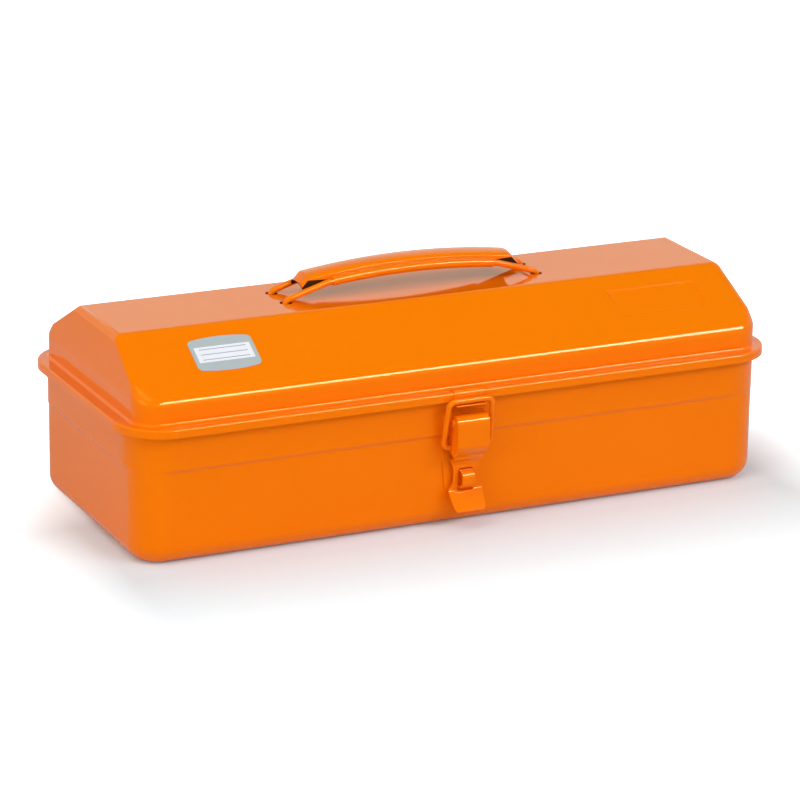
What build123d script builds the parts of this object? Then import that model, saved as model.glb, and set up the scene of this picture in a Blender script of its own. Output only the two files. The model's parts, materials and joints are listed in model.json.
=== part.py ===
"""Pressed steel hand tool box with a hipped lid, a lift handle and an over-centre draw latch.

X runs along the length, the latch is on the -Y side and Z is up. The origin is the middle of the
tub's bottom, on the surface that the box stands on. All sizes are in millimetres.
"""
import os
from math import atan2, cos, degrees, hypot, radians, sin, sqrt, tan

from build123d import *

os.makedirs("parts", exist_ok=True)

# Lid: skirt, ledge and crown
skirt_length = 359.0
skirt_depth = 150.0
skirt_corner_radius = 25.7
skirt_drop = 4.5
ledge_height = 71.8
ledge_width = 7.4
ledge_edge_radius = 1.1
ledge_root_radius = 1.5
lid_sheet = 0.7
wall_rise = 11.9
roof_rise = 23.6
top_flat_width = 52.6
end_lean = 3.2
crown_corner_radius = 12.5
crown_edge_radius = 4.5
corner_blend_rise = 6.0
fold_radius = 6.0
top_fold_radius = 6.0
top_end_radius = 4.5
gable_spread = 0.3

# Shallow pan pressed into the lid under the handle
pan_half_width = 24.3
pan_end_half_width = 12.5
pan_shoulder_x = 54.0
pan_end_x = 65.3
pan_depth = 0.8
press_slope = 45.0

# Plain sunk panel on the front slope
panel_end_inset = 57.0
panel_length = 51.0
panel_width = 18.5
panel_corner_radius = 2.0
panel_depth = 0.6
panel_up_slope = 27.5

# Tub
tub_sheet = 0.8
skirt_clearance = 1.8
bead_reach = 2.4
bead_height = 3.0
bead_round = 1.1
lid_seat_gap = 0.3
step_drop = 23.5
step_rise = 1.6
step_inset = 1.25
bottom_radius = 9.7

# Handle
wire_radius = 1.6
handle_leg_x = 70.8
handle_leg_y = 9.1
handle_hole_x = 70.3
handle_hole_radius = 3.2
handle_travel = 17.5
handle_top_gap = 0.5
arch_radius = 390.7
arch_rise = 10.9
arch_half_angle = 6.6
leg_kink_x = 47.5
leg_slope = 16.6
leg_kink_radius = 12.0
leg_corner_radius = 3.6
grip_sheet = 0.6
grip_crest = 4.6
grip_crown_half_width = 5.0
grip_crown_drop = 0.6
grip_shoulder = (6.3, 2.95)
curl_clearance = 0.1
curl_sweep = 300.0
tongue_half_angle = 8.6
flap_run = 4.0
flap_drop = 4.2

# Draw latch
pivot_drop = 15.4
pivot_standoff = 5.9
pin_radius = 1.5
pin_fit = 0.05
pin_head_radius = 2.4
pin_head_height = 0.7
pin_head_bevel = 0.4
pin_head_gap = 0.1
side_gap = 0.3
base_sheet = 1.0
base_above_pivot = 3.6
base_below_pivot = 43.8
base_top_half_width = 11.8
base_bottom_half_width = 9.0
base_waist_drop = 16.4
base_corner_radius = 2.5
base_joggle_drop = 0.6
ear_radius = 2.8
ear_root_drop = 7.4
ear_root_height = 3.4
ear_sheet = 1.2
lever_sheet = 1.0
lever_half_width = 8.8
lever_front = 5.6
nose_offset = 1.4
web_length = 18.2
strap_back = 2.9
strap_run = 5.0
strap_half_width = 6.5
strap_length = 13.4
tab_half_width = 8.1
tab_flare = 7.4
tab_length = 9.5
tab_top_drop = 36.4
shoulder_drop = 19.4
neck_top_drop = 25.4
neck_bottom_drop = 32.4
tab_corner_radius = 2.4
neck_radius = 2.5
lever_bend_radius = 2.0
slot_corner_radius = 1.0
slot_half_width = 4.0
slot_top_drop = 25.2
slot_bottom_drop = 37.1
bail_bar_drop = 3.8
bail_pivot_drop = 13.4
bail_pivot_back = 2.4
bail_boss_radius = 2.6
bail_top_half_width = 11.9
bail_foot_half_width = 13.1
bail_corner_radius = 3.4
bail_end_overhang = 0.5
keeper_sheet = 0.8
keeper_half_width = 8.3
keeper_reach = 4.0
keeper_ledge_length = 5.0
bar_gap = 0.35
staple_half_width = 3.5
staple_thickness = 1.2
staple_top_drop = 26.4
staple_bottom_drop = 34.9
staple_reach = 1.0
staple_corner_radius = 3.4

# Rear hinges
hinge_end_inset = 74.5
hinge_width = 40.0
hinge_knuckle_width = 18.0
hinge_knuckle_gap = 0.4
hinge_sheet = 1.0
hinge_pin_radius = 1.5
hinge_skirt_gap = 0.5
hinge_leaf_length = 19.8
hinge_lid_leaf_rise = 7.5
hinge_tab_margin = 0.6
hinge_bend_radius = 1.5
hinge_corner_radius = 3.0
hinge_pin_overhang = 0.6

# Paper label on the front slope
label_end_inset = 61.2
label_length = 33.5
label_width = 20.0
label_bow = 1.2
label_up_slope = 27.0
label_thickness = 0.2

# Sizes that follow from the ones above
skirt_bottom = ledge_height - skirt_drop
fold_height = ledge_height + wall_rise
lid_height = fold_height + roof_rise
crown_half_length = skirt_length / 2 - ledge_width
crown_half_depth = skirt_depth / 2 - ledge_width
top_half_length = crown_half_length - end_lean
top_half_depth = top_flat_width / 2
rim_gap = lid_sheet + skirt_clearance + bead_reach
tub_length = skirt_length - 2 * rim_gap
tub_depth = skirt_depth - 2 * rim_gap
tub_corner_radius = skirt_corner_radius - rim_gap
tub_height = ledge_height - lid_sheet - lid_seat_gap
step_height = ledge_height - step_drop
corner_fade = step_inset * (2 + sqrt(2))
panel_centre_x = skirt_length / 2 - panel_end_inset
label_centre_x = label_end_inset - skirt_length / 2
hinge_centre_x = skirt_length / 2 - hinge_end_inset
slope_run = crown_half_depth - top_half_depth
slope_angle = degrees(atan2(roof_rise, slope_run))
slope_plane = Plane(
    origin=(0, -crown_half_depth, fold_height),
    x_dir=(1, 0, 0),
    z_dir=(0, -sin(radians(slope_angle)), cos(radians(slope_angle))),
)


def export(part, name):
    """Label one finished piece and write its STEP file."""
    part.label = name
    export_step(part, f"parts/{name}.step")


def slab(length, depth, radius, low, high):
    """An upright block with a rounded rectangular plan between two heights."""
    with BuildPart() as block:
        with BuildSketch(Plane.XY.offset(low)):
            RectangleRounded(length, depth, radius)
        extrude(amount=high - low)
    return block.part


def tub_form(inset, top):
    """The tub's body with its stepped wall; inset moves every wall inwards along its normal."""
    upper = (tub_length - 2 * inset, tub_depth - 2 * inset, tub_corner_radius - inset)
    lower = (
        upper[0] - 2 * step_inset,
        upper[1] - 2 * step_inset,
        upper[2] - corner_fade,
    )
    step_low = step_height - step_rise / 2
    step_high = step_height + step_rise / 2
    with BuildPart() as form:
        with BuildSketch(Plane.XY.offset(inset)):
            RectangleRounded(*lower)
        extrude(amount=step_low - inset)
        fillet(form.faces().sort_by(Axis.Z)[0].edges(), bottom_radius - inset)
        with BuildSketch(Plane.XY.offset(step_low)):
            RectangleRounded(*lower)
        with BuildSketch(Plane.XY.offset(step_high)):
            RectangleRounded(*upper)
        loft(ruled=True)
        with BuildSketch(Plane.XY.offset(step_high)):
            RectangleRounded(*upper)
        extrude(amount=top - step_high)
    return form.part


def crown_form(inset, bottom):
    """The lid's upright wall and hipped roof; inset moves every face inwards along its normal."""
    roof_turn = radians(90 - slope_angle)
    fold = fold_height - inset * tan(roof_turn / 2)
    top = lid_height - inset
    low_depth = crown_half_depth - inset
    low_length = crown_half_length - inset
    high_depth = top_half_depth - inset * tan(radians(slope_angle) / 2)
    high_length = top_half_length - inset
    blend = corner_blend_rise / roof_rise
    blend_height = fold + (top - fold) * blend
    blend_depth = low_depth + (high_depth - low_depth) * blend
    blend_length = low_length + (high_length - low_length) * blend
    wall_radius = crown_corner_radius - inset
    edge_radius = crown_edge_radius - inset
    with BuildPart() as form:
        with BuildSketch(Plane.XY.offset(bottom)):
            RectangleRounded(2 * low_length, 2 * low_depth, wall_radius)
        extrude(amount=fold - bottom)
        with BuildSketch(Plane.XY.offset(fold)):
            RectangleRounded(2 * low_length, 2 * low_depth, wall_radius)
        with BuildSketch(Plane.XY.offset(blend_height)):
            RectangleRounded(2 * blend_length, 2 * blend_depth, edge_radius)
        loft(ruled=True)
        with BuildSketch(Plane.XY.offset(blend_height)):
            RectangleRounded(2 * blend_length, 2 * blend_depth, edge_radius)
        with BuildSketch(Plane.XY.offset(top)):
            RectangleRounded(2 * high_length, 2 * high_depth, edge_radius)
        loft(ruled=True)
        fold_loop = form.edges().filter_by_position(Axis.Z, fold - 0.01, fold + 0.01)
        fillet(fold_loop, fold_radius - inset)
        roof_sides = [
            (Plane.YZ, low_depth, high_depth, low_length, top_fold_radius),
            (Plane.XZ, low_length, high_length, low_depth, top_end_radius),
        ]
        for plane, low, high, reach, radius in roof_sides:
            foot = low + (low - high) * (fold - bottom) / (top - fold) + gable_spread
            with BuildSketch(plane) as gable:
                with BuildLine():
                    Polyline((-foot, bottom), (-high, top), (high, top), (foot, bottom), close=True)
                make_face()
                fillet(gable.vertices().sort_by(Axis.Y)[-2:], radius - inset)
            extrude(amount=reach + 1, both=True, mode=Mode.INTERSECT)
    return form.part


def pan_form(drop):
    """The space of the shallow handle pan; drop lowers and widens it by the sheet below it."""
    with BuildPart() as form:
        with BuildSketch(Plane.XY.offset(lid_height + pan_depth)):
            with BuildLine():
                Polyline(
                    (-pan_end_x, -pan_end_half_width),
                    (-pan_shoulder_x, -pan_half_width),
                    (pan_shoulder_x, -pan_half_width),
                    (pan_end_x, -pan_end_half_width),
                    (pan_end_x, pan_end_half_width),
                    (pan_shoulder_x, pan_half_width),
                    (-pan_shoulder_x, pan_half_width),
                    (-pan_end_x, pan_end_half_width),
                    close=True,
                )
            make_face()
            offset(amount=pan_depth + drop, kind=Kind.INTERSECTION)
        extrude(amount=-(2 * pan_depth + drop), taper=press_slope)
    return form.part


def panel_form(drop):
    """The space of the sunk panel on the front slope; drop lowers and widens it likewise."""
    grow = 2 * (panel_depth + drop)
    with BuildPart() as form:
        with BuildSketch(slope_plane.offset(panel_depth)):
            with Locations((panel_centre_x, panel_up_slope)):
                RectangleRounded(
                    panel_length + grow, panel_width + grow, panel_corner_radius + grow / 2
                )
        extrude(amount=-(2 * panel_depth + drop), taper=press_slope)
    return form.part


# Tub: one drawn sheet with a stepped wall and an outward bead round its rim
tub_outside = tub_form(0, tub_height)
tub_inside = tub_form(tub_sheet, tub_height + 1)
rim_bead = slab(
    tub_length + 2 * bead_reach,
    tub_depth + 2 * bead_reach,
    tub_corner_radius + bead_reach,
    tub_height - bead_height,
    tub_height,
)
with BuildPart() as body_tub:
    add(rim_bead)
    fillet(body_tub.faces().sort_by(Axis.Z)[0].edges(), bead_round)
    fillet(body_tub.faces().sort_by(Axis.Z)[-1].edges(), bead_round)
    add(tub_outside)
    add(tub_inside, mode=Mode.SUBTRACT)
export(body_tub.part, "body_tub")

# Lid: one drawn sheet, skirt and ledge below, hipped crown above, pan and holes for the handle
skirt = slab(skirt_length, skirt_depth, skirt_corner_radius, skirt_bottom, ledge_height)
skirt_space = slab(
    skirt_length - 2 * lid_sheet,
    skirt_depth - 2 * lid_sheet,
    skirt_corner_radius - lid_sheet,
    skirt_bottom - 1,
    ledge_height - lid_sheet,
)
crown_outside = crown_form(0, ledge_height)
pan_sheet = pan_form(lid_sheet)
panel_sheet = panel_form(lid_sheet)
with BuildPart() as crown_space:
    add(crown_form(lid_sheet, skirt_bottom))
    add(pan_sheet, mode=Mode.SUBTRACT)
    add(panel_sheet, mode=Mode.SUBTRACT)
pan_space = pan_form(0)
panel_space = panel_form(0)
with BuildPart() as lid_shell:
    add(skirt)
    fillet(lid_shell.faces().sort_by(Axis.Z)[-1].edges(), ledge_edge_radius)
    add(crown_outside)
    ledge_root = lid_shell.edges().filter_by_position(
        Axis.Z, ledge_height - 0.01, ledge_height + 0.01
    )
    ledge_root = [edge for edge in ledge_root if abs(edge.center().X) <= crown_half_length]
    ledge_root = [edge for edge in ledge_root if abs(edge.center().Y) <= crown_half_depth + 0.01]
    fillet(ledge_root, ledge_root_radius)
    add(skirt_space, mode=Mode.SUBTRACT)
    add(crown_space.part, mode=Mode.SUBTRACT)
    add(pan_space, mode=Mode.SUBTRACT)
    add(panel_space, mode=Mode.SUBTRACT)
    with BuildSketch(Plane.XY.offset(lid_height)):
        with GridLocations(2 * handle_hole_x, 2 * handle_leg_y, 2, 2):
            Circle(handle_hole_radius)
    extrude(amount=2 * (lid_sheet + pan_depth), both=True, mode=Mode.SUBTRACT)
export(lid_shell.part, "lid_shell")

# Handle wire: an arch in front and behind, sloping legs and a cross-piece under the lid at each end
arch_centre_z = lid_height + arch_rise - arch_radius
half_angle = radians(arch_half_angle)
arch_apex_z = arch_centre_z + arch_radius / cos(half_angle)
leg_kink_z = arch_apex_z - leg_kink_x * tan(half_angle)
leg_top_z = leg_kink_z - (handle_leg_x - leg_kink_x) * tan(radians(leg_slope))
cross_piece_z = lid_height - lid_sheet - handle_travel - handle_top_gap - wire_radius
with BuildPart() as handle_wire:
    with BuildLine() as half_loop:
        FilletPolyline(
            (-handle_leg_x, 0, cross_piece_z),
            (-handle_leg_x, -handle_leg_y, cross_piece_z),
            (-handle_leg_x, -handle_leg_y, leg_top_z),
            (-leg_kink_x, -handle_leg_y, leg_kink_z),
            (0, -handle_leg_y, arch_apex_z),
            (leg_kink_x, -handle_leg_y, leg_kink_z),
            (handle_leg_x, -handle_leg_y, leg_top_z),
            (handle_leg_x, -handle_leg_y, cross_piece_z),
            (handle_leg_x, 0, cross_piece_z),
            radius=[
                leg_corner_radius,
                leg_corner_radius,
                leg_kink_radius,
                arch_radius,
                leg_kink_radius,
                leg_corner_radius,
                leg_corner_radius,
            ],
        )
    with BuildSketch(Plane(origin=half_loop.line @ 0, z_dir=half_loop.line % 0)):
        Circle(wire_radius)
    sweep()
    mirror(about=Plane.XZ)
export(handle_wire.part, "handle_wire")

# Handle grip: a bowed sheet cover, curled round the wire along both edges, with a tongue at each end
roll_height = lid_height + arch_rise
curl_radius = wire_radius + curl_clearance + grip_sheet
arch_axis = Axis((0, 0, arch_centre_z), (0, 1, 0))


def grip_section(with_curls):
    """The grip's section on the middle plane, with or without the curls round the wire."""
    crest = roll_height + grip_crest
    edge = crest - grip_crown_drop
    crown_side = (grip_crown_half_width, edge)
    shoulder = (grip_shoulder[0], roll_height + grip_shoulder[1])
    curl_foot = (handle_leg_y - curl_radius, roll_height)
    with BuildSketch(Plane.YZ) as section:
        with BuildLine():
            if with_curls:
                CenterArc((-handle_leg_y, roll_height), curl_radius, 360 - curl_sweep, curl_sweep)
            Line((-curl_foot[0], curl_foot[1]), (-shoulder[0], shoulder[1]))
            Line((-shoulder[0], shoulder[1]), (-crown_side[0], crown_side[1]))
            ThreePointArc((-crown_side[0], crown_side[1]), (0, crest), crown_side)
            Line(crown_side, shoulder)
            Line(shoulder, curl_foot)
            if with_curls:
                CenterArc((handle_leg_y, roll_height), curl_radius, 180, curl_sweep)
            offset(amount=grip_sheet, side=Side.LEFT, closed=True)
        make_face()
    return section.sketch


cover_section = grip_section(with_curls=True)
tongue_section = grip_section(with_curls=False)
with BuildPart() as handle_grip:
    add(cover_section)
    revolve(axis=arch_axis, revolution_arc=arch_half_angle)
    add(tongue_section)
    revolve(axis=arch_axis, revolution_arc=tongue_half_angle)
    tongue_end = handle_grip.faces().sort_by(Axis.X)[-1]
    extrude(tongue_end, amount=hypot(flap_run, flap_drop), dir=(flap_run, 0, -flap_drop))
    mirror(about=Plane.YZ)
export(handle_grip.part, "handle_grip")

# Draw latch places: lever pivot, bail pivot on the lever, and the bail's bar over the keeper
wall_y = -tub_depth / 2
low_wall_y = wall_y + step_inset
skirt_y = -skirt_depth / 2
pivot_y = wall_y - pivot_standoff
pivot_z = ledge_height - pivot_drop
bail_y = pivot_y + bail_pivot_back
bail_z = pivot_z - bail_pivot_drop
bar_y = skirt_y - keeper_sheet - side_gap - wire_radius
bar_z = ledge_height - bail_bar_drop
flange_inner_x = lever_half_width - lever_sheet
ear_outer_x = flange_inner_x - side_gap
bore_radius = pin_radius + pin_fit


def pivot_plane(x):
    """A plane across the box at x, with its origin on the lever's pivot line."""
    return Plane(origin=(x, pivot_y, pivot_z), x_dir=(0, 1, 0), z_dir=(1, 0, 0))


# Latch base: a joggled plate on the tub's front with two ears for the pivot pin
with BuildPart() as latch_base:
    joggle_high = step_height + step_rise / 2 - base_joggle_drop
    joggle_low = step_height - step_rise / 2 - base_joggle_drop
    with BuildSketch(Plane.YZ):
        with BuildLine():
            FilletPolyline(
                (wall_y - base_sheet / 2, pivot_z + base_above_pivot),
                (wall_y - base_sheet / 2, joggle_high),
                (low_wall_y - base_sheet / 2, joggle_low),
                (low_wall_y - base_sheet / 2, pivot_z - base_below_pivot),
                radius=base_sheet / 2 + 0.1,
            )
        trace(line_width=base_sheet)
    extrude(amount=base_top_half_width, both=True)
    with BuildSketch(Plane.XZ.offset(-wall_y - 2 * base_sheet)) as outline:
        with BuildLine():
            Polyline(
                (-base_bottom_half_width, pivot_z - base_below_pivot),
                (base_bottom_half_width, pivot_z - base_below_pivot),
                (base_top_half_width, pivot_z - base_waist_drop),
                (base_top_half_width, pivot_z + base_above_pivot),
                (-base_top_half_width, pivot_z + base_above_pivot),
                (-base_top_half_width, pivot_z - base_waist_drop),
                close=True,
            )
        make_face()
        fillet(outline.vertices(), base_corner_radius)
    extrude(amount=4 * base_sheet, mode=Mode.INTERSECT)
    for side in (-1, 1):
        ear_x = side * (ear_outer_x - ear_sheet / 2)
        with BuildSketch(pivot_plane(ear_x)):
            Circle(ear_radius)
            with Locations((pivot_standoff - base_sheet / 2, -ear_root_drop)):
                Rectangle(base_sheet / 2, ear_root_height)
            make_hull()
            Circle(bore_radius, mode=Mode.SUBTRACT)
        extrude(amount=ear_sheet / 2, both=True)
export(latch_base.part, "latch_base")

# Padlock staple: a bent strap on the base that stands out through the lever's slot
with BuildPart() as latch_staple:
    foot_y = low_wall_y - base_sheet
    crest_y = pivot_y - staple_reach
    with BuildSketch(Plane.YZ):
        with BuildLine():
            FilletPolyline(
                (foot_y, pivot_z - staple_top_drop),
                (crest_y, pivot_z - staple_top_drop),
                (crest_y, pivot_z - staple_bottom_drop),
                (foot_y, pivot_z - staple_bottom_drop),
                radius=staple_corner_radius,
            )
        trace(line_width=staple_thickness)
    extrude(amount=staple_half_width, both=True)
export(latch_staple.part, "latch_staple")

# Pivot pin: a headed rivet through the base's ears and the lever's flanges
with BuildPart() as latch_pivot_pin:
    shank_half = lever_half_width + pin_head_gap
    with BuildSketch(pivot_plane(0)):
        Circle(pin_radius)
    extrude(amount=shank_half, both=True)
    for side in (-1, 1):
        with BuildSketch(pivot_plane(side * shank_half)):
            Circle(pin_head_radius)
        extrude(amount=side * pin_head_height)
    rims = latch_pivot_pin.edges().filter_by(GeomType.CIRCLE).group_by(Axis.X)
    chamfer(rims[0] + rims[-1], pin_head_bevel)
export(latch_pivot_pin.part, "latch_pivot_pin")

# Latch lever: a channel with a rolled nose, a strap with the staple's slot and a flared tab
with BuildPart() as latch_lever:
    web_y = -lever_front + lever_sheet / 2
    nose_radius = lever_front - nose_offset
    strap_y = strap_back + lever_sheet / 2
    strap_top = -web_length - strap_run
    tab_top = strap_top - strap_length
    with BuildSketch(pivot_plane(0)):
        with BuildLine():
            nose = CenterArc((-nose_offset, 0), nose_radius - lever_sheet / 2, 90, 90)
            FilletPolyline(
                nose @ 1,
                (web_y, -web_length),
                (strap_y, strap_top),
                (strap_y, tab_top),
                (strap_y - tab_flare, tab_top - tab_length),
                radius=lever_bend_radius,
            )
        trace(line_width=lever_sheet)
    extrude(amount=tab_half_width, both=True)
    with BuildSketch(Plane.XZ.offset(-wall_y)) as outline:
        with BuildLine():
            Polyline(
                (0, pivot_z + lever_front),
                (lever_half_width, pivot_z + lever_front),
                (lever_half_width, pivot_z - shoulder_drop),
                (strap_half_width, pivot_z - neck_top_drop),
                (strap_half_width, pivot_z - neck_bottom_drop),
                (tab_half_width, pivot_z - tab_top_drop),
                (tab_half_width, pivot_z + tab_top - tab_length),
                (0, pivot_z + tab_top - tab_length),
            )
            mirror(about=Plane.YZ)
        make_face()
        sides = outline.vertices().filter_by(lambda v: abs(v.X) > strap_half_width / 2)
        tiers = sides.group_by(Axis.Y)
        fillet(tiers[0], tab_corner_radius)
        fillet(tiers[1] + tiers[2] + tiers[3] + tiers[4], neck_radius)
    extrude(amount=4 * lever_front, mode=Mode.INTERSECT)
    with BuildSketch(Plane.XZ.offset(-wall_y)):
        with Locations((0, pivot_z - (slot_top_drop + slot_bottom_drop) / 2)):
            RectangleRounded(
                2 * slot_half_width, slot_bottom_drop - slot_top_drop, slot_corner_radius
            )
    extrude(amount=4 * lever_front, mode=Mode.SUBTRACT)
    for side in (-1, 1):
        with BuildSketch(pivot_plane(side * (lever_half_width - lever_sheet / 2))) as flange:
            with Locations((-nose_offset, 0)):
                Circle(nose_radius)
            with Locations((bail_pivot_back, -bail_pivot_drop)):
                Circle(bail_boss_radius)
            with Locations((-lever_front + lever_sheet, -web_length + lever_sheet)):
                Circle(lever_sheet)
            make_hull()
            Circle(bore_radius, mode=Mode.SUBTRACT)
            with Locations((bail_pivot_back, -bail_pivot_drop)):
                Circle(wire_radius + pin_fit, mode=Mode.SUBTRACT)
        extrude(amount=lever_sheet / 2, both=True)
export(latch_lever.part, "latch_lever")

# Latch bail: a bent wire, hooked into the lever's flanges below and over the lid's keeper above
with BuildPart() as latch_bail:
    rise = hypot(bar_y - bail_y, bar_z - bail_z)
    lean = ((bar_y - bail_y) / rise, (bar_z - bail_z) / rise)
    bail_plane = Plane(origin=(0, bail_y, bail_z), x_dir=(1, 0, 0), z_dir=(0, -lean[1], lean[0]))
    end_x = flange_inner_x - bail_end_overhang
    with BuildLine(bail_plane) as bail_path:
        FilletPolyline(
            (-end_x, 0),
            (-bail_foot_half_width, 0),
            (-bail_top_half_width, rise),
            (bail_top_half_width, rise),
            (bail_foot_half_width, 0),
            (end_x, 0),
            radius=bail_corner_radius,
        )
    with BuildSketch(Plane(origin=bail_path.line @ 0, z_dir=bail_path.line % 0)):
        Circle(wire_radius)
    sweep()
export(latch_bail.part, "latch_bail")

# Keeper: a bent leaf over the lid's ledge and skirt, with a nose that the bail's bar pulls on
with BuildPart() as lid_keeper:
    leaf_z = ledge_height + keeper_sheet / 2
    nose_z = bar_z - wire_radius - bar_gap - keeper_sheet / 2
    with BuildSketch(Plane.YZ):
        with BuildLine():
            FilletPolyline(
                (skirt_y + keeper_ledge_length, leaf_z),
                (skirt_y - keeper_sheet / 2, leaf_z),
                (skirt_y - keeper_sheet / 2, nose_z),
                (skirt_y - keeper_reach, nose_z),
                radius=[ledge_edge_radius + keeper_sheet / 2, keeper_sheet],
            )
        trace(line_width=keeper_sheet)
    extrude(amount=keeper_half_width, both=True)
export(lid_keeper.part, "lid_keeper")

# Rear hinges: each has a leaf on the tub, a leaf on the lid and a pin through their knuckles
knuckle_radius = hinge_pin_radius + pin_fit + hinge_sheet
roll_radius = knuckle_radius - hinge_sheet / 2
hinge_y = skirt_depth / 2 + hinge_skirt_gap + knuckle_radius
hinge_z = ledge_height + hinge_sheet - knuckle_radius
side_knuckle_width = (hinge_width - hinge_knuckle_width) / 2 - hinge_knuckle_gap
tab_z = hinge_z - knuckle_radius - hinge_tab_margin


def knuckle_profile(x, width, plate_start, plate_end):
    """One knuckle from x, with the straight stretch of sheet that leaves it."""
    with BuildPart() as knuckle:
        with BuildSketch(Plane.YZ.offset(x)):
            with BuildLine():
                Line(plate_start, plate_end)
            trace(line_width=hinge_sheet)
            with Locations((hinge_y, hinge_z)):
                Circle(knuckle_radius)
                Circle(hinge_pin_radius + pin_fit, mode=Mode.SUBTRACT)
        extrude(amount=width)
    return knuckle.part


def bent_leaf(x, points, radius):
    """A hinge leaf's wide part: sheet bent along points in the cross plane."""
    with BuildPart() as leaf:
        with BuildSketch(Plane.YZ.offset(x)):
            with BuildLine():
                FilletPolyline(*points, radius=radius)
            trace(line_width=hinge_sheet)
        extrude(amount=hinge_width)
    return leaf.part


for side_name, hinge_x in (("left", -hinge_centre_x), ("right", hinge_centre_x)):
    low_x = hinge_x - hinge_width / 2
    high_x = hinge_x + hinge_width / 2
    tub_plate_y = hinge_y - roll_radius
    tub_wall_y = tub_depth / 2 + hinge_sheet / 2
    joggle_z = skirt_bottom - hinge_sheet
    tub_leaf_points = [
        (tub_plate_y, tab_z),
        (tub_plate_y, joggle_z),
        (tub_wall_y, joggle_z - (tub_plate_y - tub_wall_y)),
        (tub_wall_y, hinge_z - hinge_leaf_length),
    ]
    tub_leaf = bent_leaf(low_x, tub_leaf_points, hinge_bend_radius)
    tub_tab = [(tub_plate_y, hinge_z), (tub_plate_y, tab_z)]
    first_knuckle = knuckle_profile(low_x, side_knuckle_width, *tub_tab)
    last_knuckle = knuckle_profile(high_x - side_knuckle_width, side_knuckle_width, *tub_tab)
    with BuildPart() as hinge_tub_leaf:
        add(tub_leaf)
        foot = hinge_tub_leaf.edges().filter_by(Axis.Y).group_by(Axis.Z)[0]
        fillet(foot, hinge_corner_radius)
        add(first_knuckle)
        add(last_knuckle)
    export(hinge_tub_leaf.part, f"hinge_{side_name}_tub_leaf")

    lid_plate_z = hinge_z + roll_radius
    lid_wall_y = crown_half_depth + hinge_sheet / 2
    lid_leaf_points = [
        (skirt_depth / 2, lid_plate_z),
        (lid_wall_y, lid_plate_z),
        (lid_wall_y, lid_plate_z + hinge_lid_leaf_rise),
    ]
    lid_leaf = bent_leaf(low_x, lid_leaf_points, ledge_root_radius - hinge_sheet / 2)
    middle_knuckle = knuckle_profile(
        hinge_x - hinge_knuckle_width / 2,
        hinge_knuckle_width,
        (hinge_y, lid_plate_z),
        (skirt_depth / 2, lid_plate_z),
    )
    with BuildPart() as hinge_lid_leaf:
        add(lid_leaf)
        head = hinge_lid_leaf.edges().filter_by(Axis.Y).group_by(Axis.Z)[-1]
        fillet(head, hinge_corner_radius)
        add(middle_knuckle)
    export(hinge_lid_leaf.part, f"hinge_{side_name}_lid_leaf")

    with BuildPart() as hinge_pin:
        with BuildSketch(Plane.YZ.offset(low_x - hinge_pin_overhang)):
            with Locations((hinge_y, hinge_z)):
                Circle(hinge_pin_radius)
        extrude(amount=hinge_width + 2 * hinge_pin_overhang)
        pin_ends = hinge_pin.edges().filter_by(GeomType.CIRCLE)
        chamfer(pin_ends, hinge_pin_overhang / 2)
    export(hinge_pin.part, f"hinge_{side_name}_pin")

# Label: a thin sheet with bowed long edges, stuck on the front slope
with BuildPart() as label:
    with BuildSketch(slope_plane):
        with BuildLine():
            left = label_centre_x - label_length / 2
            right = label_centre_x + label_length / 2
            low = label_up_slope - label_width / 2
            high = label_up_slope + label_width / 2
            ThreePointArc((left, low), (label_centre_x, low - label_bow), (right, low))
            Line((right, low), (right, high))
            ThreePointArc((right, high), (label_centre_x, high + label_bow), (left, high))
            Line((left, high), (left, low))
        make_face()
    extrude(amount=label_thickness)
export(label.part, "label")
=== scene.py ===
"""Dress the pressed steel tool box: glossy enamel, label, floor, studio lights and camera.

Sizes are in metres. X runs along the box's length, the latch is on the -Y side and Z is up.
"""
import json
import math

import bmesh
import bpy
from mathutils import Matrix, Vector


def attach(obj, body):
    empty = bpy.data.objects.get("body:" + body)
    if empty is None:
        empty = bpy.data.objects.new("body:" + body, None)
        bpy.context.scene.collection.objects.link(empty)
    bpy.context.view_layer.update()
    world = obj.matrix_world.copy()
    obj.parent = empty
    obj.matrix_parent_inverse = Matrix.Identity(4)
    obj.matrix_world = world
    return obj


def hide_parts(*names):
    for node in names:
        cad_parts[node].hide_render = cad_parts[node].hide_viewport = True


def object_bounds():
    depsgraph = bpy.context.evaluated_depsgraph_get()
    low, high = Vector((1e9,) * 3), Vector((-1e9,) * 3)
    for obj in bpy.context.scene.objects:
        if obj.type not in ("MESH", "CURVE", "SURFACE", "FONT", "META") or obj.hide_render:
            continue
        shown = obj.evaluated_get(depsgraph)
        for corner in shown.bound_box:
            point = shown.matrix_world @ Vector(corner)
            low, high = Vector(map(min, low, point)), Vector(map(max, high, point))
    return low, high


bl_info = {
    "name": "Pressed Steel Tool Box",
    "version": (1, 0, 0),
    "blender": (4, 5, 0),
    "location": "3D View > Sidebar > Tool Box",
    "description": "Builds the looks of a pressed steel tool box round its fixed frame",
    "category": "Object",
}

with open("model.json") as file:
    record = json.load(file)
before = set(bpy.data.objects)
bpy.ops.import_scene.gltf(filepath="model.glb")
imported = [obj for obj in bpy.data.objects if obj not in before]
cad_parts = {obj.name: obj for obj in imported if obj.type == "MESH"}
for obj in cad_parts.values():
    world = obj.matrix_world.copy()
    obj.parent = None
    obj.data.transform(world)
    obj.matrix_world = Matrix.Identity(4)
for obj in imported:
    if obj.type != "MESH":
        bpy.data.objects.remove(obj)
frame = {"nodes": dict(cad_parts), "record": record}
cad_bounds = [list(corner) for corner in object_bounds()]

# The axes along which parts are cut into rows.
X_AXIS = 0
Z_AXIS = 2

# Points this close are one point.
MERGE = 0.000002
# As MERGE, and it also closes the slits of no width between a node's triangles, which would spoil a
# part that is then cut into rows.
MERGE_SLITS = 0.00003
# A point this close to a cutting plane lies on it.
ON_PLANE = 0.000001
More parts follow.
